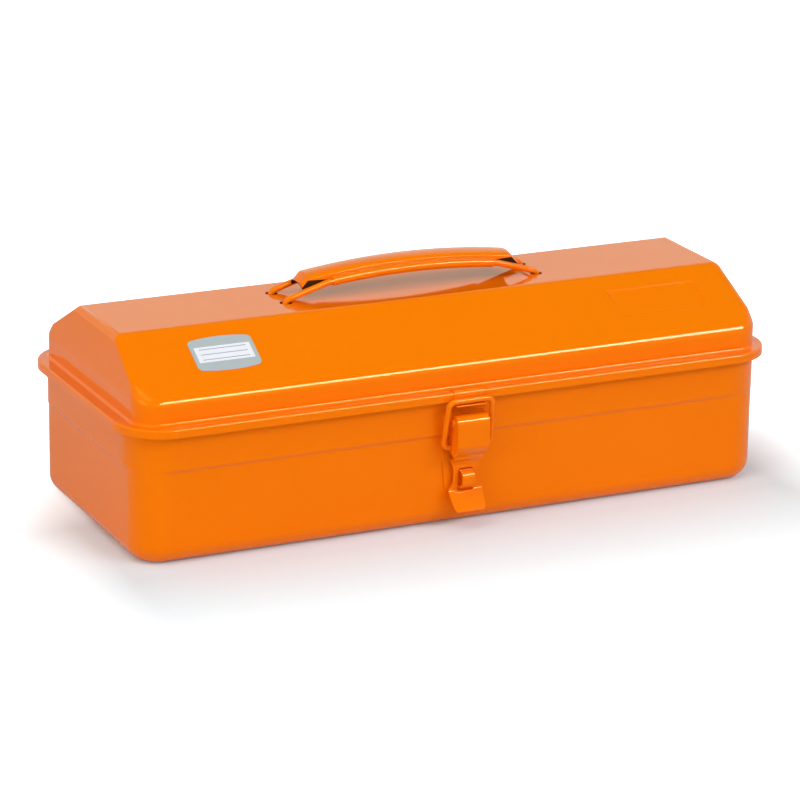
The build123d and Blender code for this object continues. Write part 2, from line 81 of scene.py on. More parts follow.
# Neighbouring triangles that turn less than this become one face.
FLAT_TURN = math.radians(0.6)
# Edges that turn more than this are rounded, in this many steps.
SHARP_TURN = math.radians(28.0)
EDGE_SEGMENTS = 2

# Radius that the enamel gives the cut edges of each sheet part.
EDGE_RADII = {
    "lid_shell": 0.0005,
    "body_tub": 0.0005,
    "latch_lever": 0.0004,
    "latch_base": 0.0002,
    "latch_staple": 0.00025,
    "lid_keeper": 0.00025,
    "handle_grip": 0.0002,
}

# A point of the lever this near to a row, counted in rows, lies on it.
ON_ROW = 0.02
# Keeps a point that lies on a row from counting to the row above it.
ROW_NUDGE = 0.001
# The lever's sides count as flanges down to this far below the web's end.
FLANGE_MARGIN = 0.0015

# Points of the grip this near to the middle plane form its crest.
CREST_HALF_WIDTH = 0.001
# Play at the inner face of the grip's walls.
WALL_PLAY = 0.0003
# A face of the grip that looks at least this far sideways belongs to a wall.
WALL_FACING = 0.7

# How far the label's panel lies above its foil.
PANEL_LIFT = 0.00003
# Half the length of a ruled line, as a share of the panel's length.
RULE_REACH = 0.42
# A point of the label past this share of its length is a corner.
CORNER_REACH = 0.499

# Each light's place, and its size across and up. All of them point at the same spot.
LIGHT_TARGET = (0.0, 0.0, 0.05)
LIGHTS = {
    "key": ((0.93, -1.56, 1.36), (1.3, 0.4)),
    "gleam": ((0.95, -1.60, 1.38), (1.6, 0.6)),
    "fill": ((0.25, -2.1, 1.0), (1.6, 0.8)),
    "top": ((-0.7, -0.5, 1.7), (1.2, 1.2)),
    "side": ((-1.7, -0.7, 0.6), (1.0, 0.8)),
}

# Distance from the box at which the floor's glow is full.
GLOW_DISTANCE = 0.24
# How much sooner it is full beside the box and behind it than in front.
GLOW_BESIDE = 3.2
GLOW_BEHIND = 2.5

# The world's colour as the gloss mirrors it, low down and overhead.
WHITE = (1.0, 1.0, 1.0, 1.0)
MIRRORED_LOW = (0.91, 1.06, 0.94, 1.0)
MIRRORED_OVERHEAD = (0.75, 1.2, 0.04, 1.0)
# Heights on the unit sphere between which the one turns into the other.
OVERHEAD_START = 0.5
OVERHEAD_FULL = 0.85
# Strength of the world as a light, and the share of it that is left overhead.
WORLD_LIGHT = 0.65
OVERHEAD_LIGHT = 0.3

# The camera, turned round the spot that it looks at.
CAMERA_AZIMUTH = math.radians(-25.673)
CAMERA_ELEVATION = math.radians(18.144)
CAMERA_ROLL = math.radians(0.932)
CAMERA_DISTANCE = 1.9052
CAMERA_TARGET = (-0.001789, 0.0, 0.044708)
CAMERA_LENS = 166.53
CAMERA_SENSOR = 36.0
CAMERA_NEAR = 0.1
CAMERA_FAR = 50.0


def length_setting(name, description, default):
    """A setting for one length."""
    return bpy.props.FloatProperty(
        name=name, description=description, default=default, min=0.0, precision=5, unit="LENGTH"
    )


def place_setting(name, description, default):
    """A setting for one coordinate on the box, which may be negative."""
    return bpy.props.FloatProperty(
        name=name, description=description, default=default, precision=5, unit="LENGTH"
    )


def share_setting(name, description, default):
    """A setting from 0 to 1."""
    return bpy.props.FloatProperty(
        name=name, description=description, default=default, min=0.0, max=1.0, subtype="FACTOR"
    )


def colour_setting(name, description, default):
    """A setting for one colour."""
    return bpy.props.FloatVectorProperty(
        name=name,
        description=description,
        default=default,
        min=0.0,
        max=1.0,
        size=3,
        subtype="COLOR",
    )


def power_setting(name, description, default):
    """A setting for one light's power."""
    return bpy.props.FloatProperty(
        name=name, description=description, default=default, min=0.0, unit="POWER"
    )


class ToolBoxFinish(bpy.types.PropertyGroup):
    """Colours and surface detail of the enamel and the label, and the painted shade of the grip's
    inside.
    """

    enamel: colour_setting("Enamel", "Colour of the steel parts' enamel", (0.90, 0.174, 0.001))
    enamel_sheen: colour_setting(
        "Enamel sheen", "Tint of the enamel's reflections seen straight on", (1.0, 0.5, 0.06)
    )
    enamel_roughness: share_setting("Enamel roughness", "Roughness of the enamel", 0.07)
    peel_size: length_setting("Peel size", "Width of the waves in the enamel", 0.0022)
    peel_height: length_setting("Peel height", "Height of the waves in the enamel", 0.000004)
    # The grip's inside colour is painted shade, dark where the inside lies in shadow.
    grip_painted_shade: colour_setting("Grip painted shade", "Colour of the grip's inside", (0.045, 0.014, 0.004))
    foil: colour_setting("Foil", "Colour of the label's foil border", (0.43, 0.44, 0.56))
    paper: colour_setting("Paper", "Colour of the label's writing panel", (0.80, 0.79, 0.89))
    ink: colour_setting("Ink", "Colour of the panel's ruled lines", (0.22, 0.24, 0.28))


class ToolBoxLabel(bpy.types.PropertyGroup):
    """Size and place of the label on the front slope."""

    length: length_setting("Length", "Length of the label", 0.0335)
    width: length_setting("Width", "Width of the label at its ends", 0.0192)
    bow: length_setting("Bow", "How far the long edges bow out", 0.0017)
    corner: length_setting("Corner", "Radius of the corners", 0.0022)
    thickness: length_setting("Thickness", "Thickness of the foil", 0.00017)
    panel_length: length_setting("Panel length", "Length of the writing panel", 0.0293)
    panel_width: length_setting("Panel width", "Width of the writing panel", 0.0102)
    line_width: length_setting("Line width", "Width of the ruled lines", 0.0004)
    rows: bpy.props.IntProperty(name="Rows", description="Number of ruled rows", default=3, min=1)
    slope: bpy.props.FloatProperty(
        name="Slope",
        description="Slope of the lid's front",
        default=math.radians(29.745),
        subtype="ANGLE",
    )
    centre: bpy.props.FloatVectorProperty(
        name="Centre",
        description="Middle of the label on the lid",
        default=(-0.1183, -0.04416, 0.0971),
        size=3,
        precision=5,
        subtype="TRANSLATION",
    )


class ToolBoxGrip(bpy.types.PropertyGroup):
    """The open ends of the handle's grip, measured from the box's middle."""

    tongue_start: length_setting("Tongue start", "Where the open tongue starts", 0.0452)
    fold: length_setting("Fold", "Where the tongue folds down to its flap", 0.0590)
    row: length_setting("Row", "Distance between the rows of the tongue", 0.0023)
    trim: length_setting("Trim", "How much shorter the tongue is drawn", 0.0024)
    arch_fall: share_setting("Arch fall", "How steeply the arch falls at the tongue", 0.14)
    foot_drop: length_setting("Foot drop", "How far the wall comes down at the fold", 0.0012)
    flap_lift: length_setting("Flap lift", "How far the wall's end on the flap is lifted", 0.0016)
    wall_y: length_setting("Wall place", "Inner face of the side wall", 0.0067)
    curl_y: length_setting("Curl place", "Outer limit of the side wall", 0.0076)
    wall_depth: length_setting("Wall depth", "Where the wall's foot starts below the crest", 0.0035)
    depth: length_setting("Depth", "Height of the grip's core below its crest", 0.0060)
    # The slit is painted shade: a dark strip on the wall standing in for the shadowed opening under
    # the tongue.
    painted_slit_z: length_setting("Painted slit height", "Top of the dark slit where the tongue starts", 0.1164)
    painted_slit_rise: share_setting("Painted slit rise", "How steeply the top of the slit rises outwards", 0.03)


class ToolBoxLatch(bpy.types.PropertyGroup):
    """The latch lever, measured down from its pivot and out from the box's middle, and the bail."""

    pivot_z: length_setting("Pivot height", "Height of the lever's pivot", 0.0564)
    web_y: place_setting("Web front", "Front of the lever's web", -0.0816)
    strap_y: place_setting("Strap front", "Front of the lever's strap", -0.0731)
    web_end: length_setting("Web end", "Bottom of the web", 0.0182)
    bend_start: length_setting("Bend start", "Where the web starts to bend back", 0.0110)
    bend_end: length_setting("Bend end", "Where the strap is straight again", 0.0240)
    flange_half_width: length_setting("Flange half width", "Half width inside the flanges", 0.0077)
    neck_end: length_setting("Neck end", "Where the strap starts to widen", 0.0325)
    tab_bend: length_setting("Tab bend", "Where the tab bends out", 0.0366)
    tab_end: length_setting("Tab end", "Bottom of the tab", 0.0461)
    tab_spread: share_setting("Tab spread", "How much wider the tab's top becomes", 0.13)
    tab_taper: share_setting("Tab taper", "How much the tab narrows again to its end", 0.08)
    row: length_setting("Row", "Height of one row of the bend", 0.00025)
    tab_row: length_setting("Tab row", "Height of one row of the tab", 0.001)
    bail_trim: length_setting("Bail trim", "How much thinner the bail is drawn all round", 0.0002)


class ToolBoxStage(bpy.types.PropertyGroup):
    """Floor and lights."""

    floor_size: length_setting("Floor size", "Side of the square floor", 8.0)
    floor: colour_setting("Floor", "Colour of the floor", (0.70, 0.76, 0.78))
    glow_near: share_setting("Glow, near", "Glow of the floor to the camera beside the box", 0.08)
    glow_far: share_setting("Glow, far", "Glow of the floor to the camera far from the box", 1.0)
    key_power: power_setting("Key power", "Power of the key light", 14.0)
    gleam_power: power_setting("Gleam power", "Power of the light that only the gloss shows", 275.0)
    gleam_tint: colour_setting("Gleam tint", "Colour of that light", (0.22, 0.28, 1.0))
    fill_power: power_setting("Fill power", "Power of the broad light in front", 5.0)
    top_power: power_setting("Top power", "Power of the light above", 10.0)
    side_power: power_setting("Side power", "Power of the light on the left", 8.0)


class ToolBoxSettings(bpy.types.PropertyGroup):
    """All settings of the tool box."""

    finish: bpy.props.PointerProperty(
        type=ToolBoxFinish, name="Finish", description="Colours and surface detail"
    )
    label: bpy.props.PointerProperty(
        type=ToolBoxLabel, name="Label", description="Label on the lid"
    )
    grip: bpy.props.PointerProperty(
        type=ToolBoxGrip, name="Grip", description="Open ends of the handle's grip"
    )
    latch: bpy.props.PointerProperty(
        type=ToolBoxLatch, name="Latch", description="Shape of the latch's lever and bail"
    )
    stage: bpy.props.PointerProperty(
        type=ToolBoxStage, name="Stage", description="Floor and lights"
    )


def feed(tree, socket, value):
    """Link another node's output to an input, or write a plain value into it."""
    if isinstance(value, bpy.types.NodeSocket):
        tree.links.new(value, socket)
    else:
        socket.default_value = value


def add_node(tree, kind, inputs=None, **settings):
    """A new node with its settings and its inputs, given by name or by number."""
    node = tree.nodes.new(kind)
    for setting, value in settings.items():
        setattr(node, setting, value)
    for key, value in (inputs or {}).items():
        feed(tree, node.inputs[key], value)
    return node


def calculate(tree, operation, first, second=0.0):
    """One step of arithmetic on numbers."""
    return add_node(tree, "ShaderNodeMath", {0: first, 1: second}, operation=operation).outputs[0]


def calculate_vector(tree, operation, first, second=(0.0, 0.0, 0.0)):
    """One step of arithmetic on vectors."""
    node = add_node(tree, "ShaderNodeVectorMath", {0: first, 1: second}, operation=operation)
    return node.outputs["Value" if operation == "LENGTH" else "Vector"]


def rescale(tree, value, from_range, to_range):
    """A value moved from one range to another, and held inside it."""
    ranges = {
        "From Min": from_range[0],
        "From Max": from_range[1],
        "To Min": to_range[0],
        "To Max": to_range[1],
    }
    return add_node(tree, "ShaderNodeMapRange", {"Value": value, **ranges}).outputs[0]


def mix_colours(tree, factor, first, second):
    """The first colour at factor 0 and the second at factor 1."""
    inputs = {"Factor": factor, "A": first, "B": second}
    return add_node(tree, "ShaderNodeMix", inputs, data_type="RGBA").outputs["Result"]


def paint_group():
    """Sprayed paint: soft waves, faint tone drift, a dusting of fine specks and roughness drift."""
    name = "Sprayed Paint"
    if name in bpy.data.node_groups:
        return bpy.data.node_groups[name]
    tree = bpy.data.node_groups.new(name, "ShaderNodeTree")
    for socket_name, kind, default in (
        ("Colour", "NodeSocketColor", (0.8, 0.8, 0.8, 1.0)),
        ("Tone Drift", "NodeSocketFloat", 0.05),
        ("Roughness", "NodeSocketFloat", 0.2),
        ("Peel Size", "NodeSocketFloat", 0.002),
        ("Peel Height", "NodeSocketFloat", 0.000004),
        ("Specks", "NodeSocketFloat", 0.1),
    ):
        socket = tree.interface.new_socket(socket_name, in_out="INPUT", socket_type=kind)
        socket.default_value = default
    for socket_name, kind in (
        ("Colour", "NodeSocketColor"),
        ("Roughness", "NodeSocketFloat"),
        ("Normal", "NodeSocketVector"),
    ):
        tree.interface.new_socket(socket_name, in_out="OUTPUT", socket_type=kind)
    given = add_node(tree, "NodeGroupInput").outputs
    place = add_node(tree, "ShaderNodeTexCoord").outputs["Object"]

    drift = add_node(tree, "ShaderNodeTexNoise", {"Vector": place, "Scale": 14.0, "Detail": 3.0})
    centred = calculate(tree, "SUBTRACT", drift.outputs["Fac"], 0.5)
    tone = calculate(tree, "MULTIPLY", centred, given["Tone Drift"])
    bright = calculate(tree, "ADD", tone, 1.0)
    shade = add_node(tree, "ShaderNodeHueSaturation", {"Color": given["Colour"], "Value": bright})

    cells = add_node(tree, "ShaderNodeTexVoronoi", {"Vector": place, "Scale": 260.0})
    dots = rescale(tree, cells.outputs["Distance"], (0.05, 0.11), (1.0, 0.0))
    specks = calculate(tree, "MULTIPLY", dots, given["Specks"])
    rough = calculate(tree, "MULTIPLY", centred, 0.10)
    rough = calculate(tree, "ADD", rough, given["Roughness"])
    rough = calculate(tree, "ADD", rough, specks)

    waves = calculate(tree, "DIVIDE", 1.0, given["Peel Size"])
    peel = add_node(tree, "ShaderNodeTexNoise", {"Vector": place, "Scale": waves, "Detail": 1.5})
    bump = add_node(
        tree, "ShaderNodeBump", {"Distance": given["Peel Height"], "Height": peel.outputs["Fac"]}
    )

    results = {
        "Colour": shade.outputs["Color"],
        "Roughness": rough,
        "Normal": bump.outputs["Normal"],
    }
    add_node(tree, "NodeGroupOutput", results)
    return tree


def painted_material(name, tint, surface):
    """A material with the sprayed paint's colour, roughness and waves, its paint and its shader."""
    material = bpy.data.materials.new(name)
    material.use_nodes = True
    tree = material.node_tree
    tree.nodes.clear()
    inputs = {"Colour": (*tint, 1.0), **surface}
    paint = add_node(tree, "ShaderNodeGroup", inputs, node_tree=paint_group())
    coat = {
        "Base Color": paint.outputs["Colour"],
        "Roughness": paint.outputs["Roughness"],
        "Normal": paint.outputs["Normal"],
    }
    shader = add_node(tree, "ShaderNodeBsdfPrincipled", coat)
    add_node(tree, "ShaderNodeOutputMaterial", {"Surface": shader.outputs["BSDF"]})
    return material, paint, shader


def enamel_material():
    """Glossy orange enamel."""
    name = "Orange Enamel"
    if name in bpy.data.materials:
        return bpy.data.materials[name]
    finish = bpy.context.scene.tool_box.finish
    surface = {
        "Tone Drift": 0.05,
        "Roughness": finish.enamel_roughness,
        "Peel Size": finish.peel_size,
        "Peel Height": finish.peel_height,
        "Specks": 0.12,
    }
    material, _, shader = painted_material(name, finish.enamel, surface)
    shader.inputs["IOR"].default_value = 1.5
    shader.inputs["Specular Tint"].default_value = (*finish.enamel_sheen, 1.0)
    return material


def grip_painted_shade_material():
    """Painted shade: a dark colour for the grip's inside and its painted slits, standing in for
    their shadow.
    """
    finish = bpy.context.scene.tool_box.finish
    surface = {
        "Tone Drift": 0.3,
        "Roughness": 0.6,
        "Peel Size": 0.0008,
        "Peel Height": 0.000004,
        "Specks": 0.2,
    }
    material, _, shader = painted_material("Grip Inside", finish.grip_painted_shade, surface)
    shader.inputs["Specular IOR Level"].default_value = 0.0
    return material


def foil_material():
    """Silver foil of the label's border."""
    finish = bpy.context.scene.tool_box.finish
    surface = {
        "Tone Drift": 0.12,
        "Roughness": 0.35,
        "Peel Size": 0.0008,
        "Peel Height": 0.000002,
        "Specks": 0.05,
    }
    material, _, shader = painted_material("Label Foil", finish.foil, surface)
    shader.inputs["Metallic"].default_value = 0.25
    return material


def paper_material():
    """White writing panel of the label with its thin ruled lines."""
    finish = bpy.context.scene.tool_box.finish
    label = bpy.context.scene.tool_box.label
    surface = {
        "Tone Drift": 0.03,
        "Roughness": 0.4,
        "Peel Size": 0.0006,
        "Peel Height": 0.000001,
        "Specks": 0.0,
    }
    material, paint, shader = painted_material("Label Panel", finish.paper, surface)
    tree = material.node_tree
    panel_place = {
        "Vector": add_node(tree, "ShaderNodeTexCoord").outputs["Object"],
        "Location": label.centre,
        "Rotation": (label.slope, 0.0, 0.0),
    }
    on_panel = add_node(tree, "ShaderNodeMapping", panel_place, vector_type="TEXTURE")
    axes = add_node(tree, "ShaderNodeSeparateXYZ", {"Vector": on_panel.outputs["Vector"]}).outputs
    pitch = label.panel_width / label.rows
    # A ruled line runs through the middle of each row.
    row = calculate(tree, "ADD", axes["Y"], label.panel_width / 2.0)
    row = calculate(tree, "DIVIDE", row, pitch)
    row = calculate(tree, "PINGPONG", row, 0.5)
    row = calculate(tree, "GREATER_THAN", row, 0.5 - label.line_width / (2.0 * pitch))
    reach = calculate(tree, "ABSOLUTE", axes["X"])
    reach = calculate(tree, "LESS_THAN", reach, label.panel_length * RULE_REACH)
    ruled = calculate(tree, "MULTIPLY", row, reach)
    printed = mix_colours(tree, ruled, paint.outputs["Colour"], (*finish.ink, 1.0))
    feed(tree, shader.inputs["Base Color"], printed)
    return material


def floor_material():
    """Pale floor that keeps the box's shadow and glows white to the camera away from the box."""
    stage = bpy.context.scene.tool_box.stage
    material = bpy.data.materials.new("Pale Floor")
    material.use_nodes = True
    tree = material.node_tree
    tree.nodes.clear()
    place = add_node(tree, "ShaderNodeTexCoord").outputs["Object"]
    # How far a point of the floor lies outside the box's footprint.
    half_box = (cad_bounds[1][0], cad_bounds[1][1], 0.0)
    outside = calculate_vector(tree, "ABSOLUTE", place)
    outside = calculate_vector(tree, "SUBTRACT", outside, half_box)
    outside = calculate_vector(tree, "MULTIPLY", outside, (GLOW_BESIDE, 1.0, 1.0))
    outside = calculate_vector(tree, "MAXIMUM", outside)
    axes = add_node(tree, "ShaderNodeSeparateXYZ", {"Vector": place}).outputs
    behind = calculate(tree, "MULTIPLY", axes["Y"], GLOW_BEHIND)
    behind = calculate(tree, "MAXIMUM", behind, 0.0)
    reach = calculate(tree, "ADD", calculate_vector(tree, "LENGTH", outside), behind)
    lift = rescale(tree, reach, (0.0, GLOW_DISTANCE), (stage.glow_near, stage.glow_far))
    # Only the camera sees the glow, so it lights nothing.
    rays = add_node(tree, "ShaderNodeLightPath").outputs
    seen = calculate(tree, "MULTIPLY", rays["Is Camera Ray"], lift)
    diffuse = add_node(tree, "ShaderNodeBsdfDiffuse", {"Color": (*stage.floor, 1.0)})
    glow = add_node(tree, "ShaderNodeEmission", {"Strength": seen})
    both = add_node(tree, "ShaderNodeAddShader", {0: diffuse.outputs[0], 1: glow.outputs[0]})
    add_node(tree, "ShaderNodeOutputMaterial", {"Surface": both.outputs[0]})
    return material


def body_of_node(name):
    """The body that a node rides on."""
    bodies = frame["record"]["behaviour"]["bodies"]
    return next(body for body, names in bodies.items() if name in names)


def soften(bm, edge_radius, reshape=None):
    """Join flat triangles into faces, reshape them and round every edge that turns sharply."""
    bmesh.ops.remove_doubles(bm, verts=bm.verts, dist=MERGE_SLITS if reshape else MERGE)
    bmesh.ops.dissolve_limit(
        bm, angle_limit=FLAT_TURN, verts=bm.verts, edges=bm.edges, use_dissolve_boundaries=False
    )
    if reshape:
        reshape(bm)
        bm.normal_update()
    sharp = [
        edge
        for edge in bm.edges
        if len(edge.link_faces) == 2 and edge.calc_face_angle(0.0) > SHARP_TURN
    ]
    bmesh.ops.bevel(
        bm,
        geom=sharp,
        offset=edge_radius,
        offset_type="OFFSET",
        segments=EDGE_SEGMENTS,
        profile=0.5,
        affect="EDGES",
        clamp_overlap=True,
        material=-1,
    )


def place_piece(bm, name, body, material):
    """Turn a finished bmesh into a smooth object that rides on a body."""
    for face in bm.faces:
        face.smooth = True
    mesh = bpy.data.meshes.new(name)
    bm.to_mesh(mesh)
    bm.free()
    # The node's own normals no longer fit the new faces.
    if "custom_normal" in mesh.attributes:
        mesh.attributes.remove(mesh.attributes["custom_normal"])
    mesh.materials.clear()
    mesh.materials.append(material)
    piece = bpy.data.objects.new(name, mesh)
    bpy.context.scene.collection.objects.link(piece)
    even = piece.modifiers.new("Even Shading", "WEIGHTED_NORMAL")
    even.keep_sharp = True
    even.weight = 80
    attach(piece, body)
    return piece


def node_copy(node_name):
    """A bmesh with the shape of a node."""
    bm = bmesh.new()
    bm.from_mesh(frame["nodes"][node_name].data)
    return bm


def enamelled(bm, node_name):
    """The enamelled piece that stands in for a node."""
    name = node_name + "_enamelled"
    piece = place_piece(bm, name, body_of_node(node_name), enamel_material())
    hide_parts(node_name)
    return piece


def sheet_part(node_name, reshape=None):
    """A sheet steel part with its cut edges rounded by the enamel, in place of its node."""
    bm = node_copy(node_name)
    soften(bm, EDGE_RADII[node_name], reshape)
    return enamelled(bm, node_name)


def ease(low, high, value):
    """A soft step from 0 at low to 1 at high."""
    share = min(max((value - low) / (high - low), 0.0), 1.0)
    return share * share * (3.0 - 2.0 * share)


def slice_rows(bm, axis, start, stop, step):
    """Cut a mesh into rows along one axis."""
    normal = Vector((0.0, 0.0, 0.0))
    normal[axis] = 1.0
    place = start
    while place < stop:
        everything = bm.verts[:] + bm.edges[:] + bm.faces[:]
        bmesh.ops.bisect_plane(
            bm, geom=everything, dist=ON_PLANE, plane_co=normal * place, plane_no=normal
        )
        place += step


def lever_fronts(bm):
    """The smallest Y of the lever on each row, counted down from its pivot."""
    latch = bpy.context.scene.tool_box.latch
    fronts = {}
    for vert in bm.verts:
        place = (latch.pivot_z - vert.co.z) / latch.row
        row = round(place)
        if abs(place - row) < ON_ROW:
            fronts[row] = min(fronts.get(row, math.inf), vert.co.y)
    return fronts


def bend_lever(bm):
    """Draw the lever's web softly back to its strap and widen the top of its tab."""
    latch = bpy.context.scene.tool_box.latch
    bend_top = latch.pivot_z - latch.bend_start
    slice_rows(bm, Z_AXIS, latch.pivot_z - latch.bend_end - latch.row, bend_top, latch.row)
    tab_top = latch.pivot_z - latch.neck_end
    slice_rows(bm, Z_AXIS, latch.pivot_z - latch.tab_end, tab_top, latch.tab_row)
    fronts = lever_fronts(bm)
    step_back = latch.strap_y - latch.web_y
    for vert in bm.verts:
        drop = latch.pivot_z - vert.co.z
        if latch.bend_start < drop < latch.bend_end:
            row = math.floor(drop / latch.row + ROW_NUDGE)
            part = drop / latch.row - row
            above, below = fronts.get(row, latch.web_y), fronts.get(row + 1, latch.strap_y)
            old_y = above * (1.0 - part) + below * part
            new_y = latch.web_y + ease(latch.bend_start, latch.bend_end, drop) * step_back
            hold = 1.0
            # The flanges keep their rear edges: a point moves less the further back it is.
            if abs(vert.co.x) > latch.flange_half_width and drop < latch.web_end + FLANGE_MARGIN:
                hold = min(max((latch.strap_y - vert.co.y) / step_back, 0.0), 1.0)
            vert.co.y += hold * (new_y - old_y)
        spread = ease(latch.neck_end, latch.tab_bend, drop) * latch.tab_spread
        spread -= ease(latch.tab_bend, latch.tab_end, drop) * latch.tab_taper
        vert.co.x *= 1.0 + spread


def thin_bail(bm):
    """Draw the bail's wire a little thinner along its normals."""
    trim = bpy.context.scene.tool_box.latch.bail_trim
    bmesh.ops.recalc_face_normals(bm, faces=bm.faces)
    bm.normal_update()
    for vert in bm.verts:
        vert.co -= vert.normal * trim


def crest_heights(verts):
    """The height of the grip's crest at each distance from the middle."""
    return {abs(vert.co.x): vert.co.z for vert in verts if abs(vert.co.y) < CREST_HALF_WIDTH}


def crest_above(crest, x):
    """The height of the crest nearest to a place along the grip."""
    return crest[min(crest, key=lambda place: abs(place - abs(x)))]


def trim_tongues(bm):
    """Shorten the grip's end tongues, move their walls' feet and cut the walls along the painted
    slit.
    """
    grip = bpy.context.scene.tool_box.grip
    half_row = grip.row / 2.0
    slice_rows(bm, X_AXIS, grip.tongue_start, grip.fold + half_row, grip.row)
    slice_rows(bm, X_AXIS, -grip.fold, -grip.tongue_start + half_row, grip.row)
    crest = crest_heights(bm.verts)
    tongue = grip.fold - grip.tongue_start
    for vert in bm.verts:
        past = abs(vert.co.x) - grip.tongue_start
        if past > 0.0:
            below = crest_above(crest, vert.co.x) - vert.co.z
            if below > grip.wall_depth and grip.wall_y < abs(vert.co.y) < grip.curl_y:
                on_flap = abs(vert.co.x) > grip.fold
                vert.co.z += grip.flap_lift if on_flap else -(grip.foot_drop * past / tongue)
            shift = grip.trim * min(past / tongue, 1.0)
            vert.co.x -= math.copysign(shift, vert.co.x)
            vert.co.z += shift * grip.arch_fall
    cut_painted_slits(bm)


def cut_painted_slits(bm):
    """Divide the tongues' walls along the top of the painted slit, where the painted shade starts.
    """
    grip = bpy.context.scene.tool_box.grip
    for side in (-1.0, 1.0):
        faces = [
            face for face in bm.faces if side * face.calc_center_median().x > grip.tongue_start
        ]
        edges = {edge for face in faces for edge in face.edges}
        verts = {vert for face in faces for vert in face.verts}
        bmesh.ops.bisect_plane(
            bm,
            geom=[*verts, *edges, *faces],
            dist=ON_PLANE,
            plane_co=(side * grip.tongue_start, 0.0, grip.painted_slit_z),
            plane_no=(-side * grip.painted_slit_rise, 0.0, 1.0),
        )


def shade_grip(piece):
    """Paint shade on the grip's inside and, as a painted slit, on the tongues' walls below the slit
    line.
    """
    grip = bpy.context.scene.tool_box.grip
    piece.data.materials.append(grip_painted_shade_material())
    crest = crest_heights(piece.data.vertices)
    for face in piece.data.polygons:
        x, y, z = face.center
        outwards = Vector((0.0, y, z - crest_above(crest, x) + grip.depth))
        inside = abs(y) < grip.wall_y + WALL_PLAY and face.normal.dot(outwards) < 0.0
        past = abs(x) - grip.tongue_start
        in_painted_slit = z < grip.painted_slit_z + grip.painted_slit_rise * past
        # Inside faces, and the tongues' wall faces below the slit line, get the painted shade.
        if inside or (past > 0.0 and abs(face.normal.y) > WALL_FACING and in_painted_slit):
            face.material_index = 1


class TOOLBOX_OT_enamel(bpy.types.Operator):
    """Give every steel part of the frame its enamel"""

    bl_idname = "toolbox.enamel"
    bl_label = "Enamel"

    def execute(self, context):
        material = enamel_material()
        for name, node in frame["nodes"].items():
            if name != "label":
                node.data.materials.clear()
                node.data.materials.append(material)
        return {"FINISHED"}


class TOOLBOX_OT_shells(bpy.types.Operator):
    """Round the cut edges of the lid and the tub"""

    bl_idname = "toolbox.shells"
    bl_label = "Lid and Tub"

    def execute(self, context):
        for node_name in ("lid_shell", "body_tub"):
            sheet_part(node_name)
        return {"FINISHED"}


class TOOLBOX_OT_latch(bpy.types.Operator):
    """Bend the latch's lever and round the latch's cut edges"""

    bl_idname = "toolbox.latch"
    bl_label = "Latch"

    def execute(self, context):
        sheet_part("latch_lever", bend_lever)
        for node_name in ("latch_base", "latch_staple", "lid_keeper"):
            sheet_part(node_name)
        return {"FINISHED"}


class TOOLBOX_OT_grip(bpy.types.Operator):
    """Shape the open ends of the handle's grip and paint shade on its inside and slits"""

    bl_idname = "toolbox.grip"
    bl_label = "Grip"

    def execute(self, context):
        shade_grip(sheet_part("handle_grip", trim_tongues))
        return {"FINISHED"}


class TOOLBOX_OT_bail(bpy.types.Operator):
    """Thin the wire of the latch's bail"""

    bl_idname = "toolbox.bail"
    bl_label = "Bail"

    def execute(self, context):
        bm = node_copy("latch_bail")
        bmesh.ops.remove_doubles(bm, verts=bm.verts, dist=MERGE)
        thin_bail(bm)
        enamelled(bm, "latch_bail")
        return {"FINISHED"}


def flat_plate(length, width):
    """A bmesh of one flat strip of faces in X and Y, centred on the origin."""
    bm = bmesh.new()
    bmesh.ops.create_grid(bm, x_segments=12, y_segments=1, size=0.5)
    bmesh.ops.scale(bm, vec=(length, width, 1.0), verts=bm.verts)
    return bm


class TOOLBOX_OT_label(bpy.types.Operator):
    """Build the foil label with its plain writing panel"""

    bl_idname = "toolbox.label"
    bl_label = "Label"

    def execute(self, context):
        sizes = context.scene.tool_box.label
        turn = Matrix.Translation(sizes.centre) @ Matrix.Rotation(sizes.slope, 4, "X")
        bm = flat_plate(sizes.length, sizes.width)
        for vert in bm.verts:
            reach = 1.0 - (2.0 * vert.co.x / sizes.length) ** 2
            vert.co.y += math.copysign(sizes.bow * reach, vert.co.y)
        bmesh.ops.bevel(
            bm,
            geom=[vert for vert in bm.verts if abs(vert.co.x) > CORNER_REACH * sizes.length],
            offset=sizes.corner,
            offset_type="OFFSET",
            segments=4,
            profile=0.5,
            affect="VERTICES",
            material=-1,
        )
        walls = bmesh.ops.extrude_face_region(bm, geom=list(bm.faces))
        lifted = [item for item in walls["geom"] if isinstance(item, bmesh.types.BMVert)]
        bmesh.ops.translate(bm, vec=(0.0, 0.0, sizes.thickness), verts=lifted)
        bmesh.ops.recalc_face_normals(bm, faces=bm.faces)
        bmesh.ops.transform(bm, matrix=turn, verts=bm.verts)
        border = place_piece(bm, "label_border", "lid", foil_material())
        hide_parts("label")

        bm = flat_plate(sizes.panel_length, sizes.panel_width)
        bmesh.ops.translate(bm, vec=(0.0, 0.0, sizes.thickness + PANEL_LIFT), verts=bm.verts)
        bmesh.ops.transform(bm, matrix=turn, verts=bm.verts)
        place_piece(bm, "label_panel", "lid", paper_material())
        return {"FINISHED"}


def area_light(name, power):
    """A soft rectangular studio light at its place in LIGHTS, turned to the box."""
    place, (across, up) = LIGHTS[name]
    data = bpy.data.lights.new(name, "AREA")
    data.shape = "RECTANGLE"
    data.size = across
    data.size_y = up
    data.energy = power
    light = bpy.data.objects.new(name, data)
    light.location = place
    view = Vector(LIGHT_TARGET) - Vector(place)
    light.rotation_euler = view.to_track_quat("-Z", "Y").to_euler()
    light.visible_camera = False
    bpy.context.scene.collection.objects.link(light)
    return light


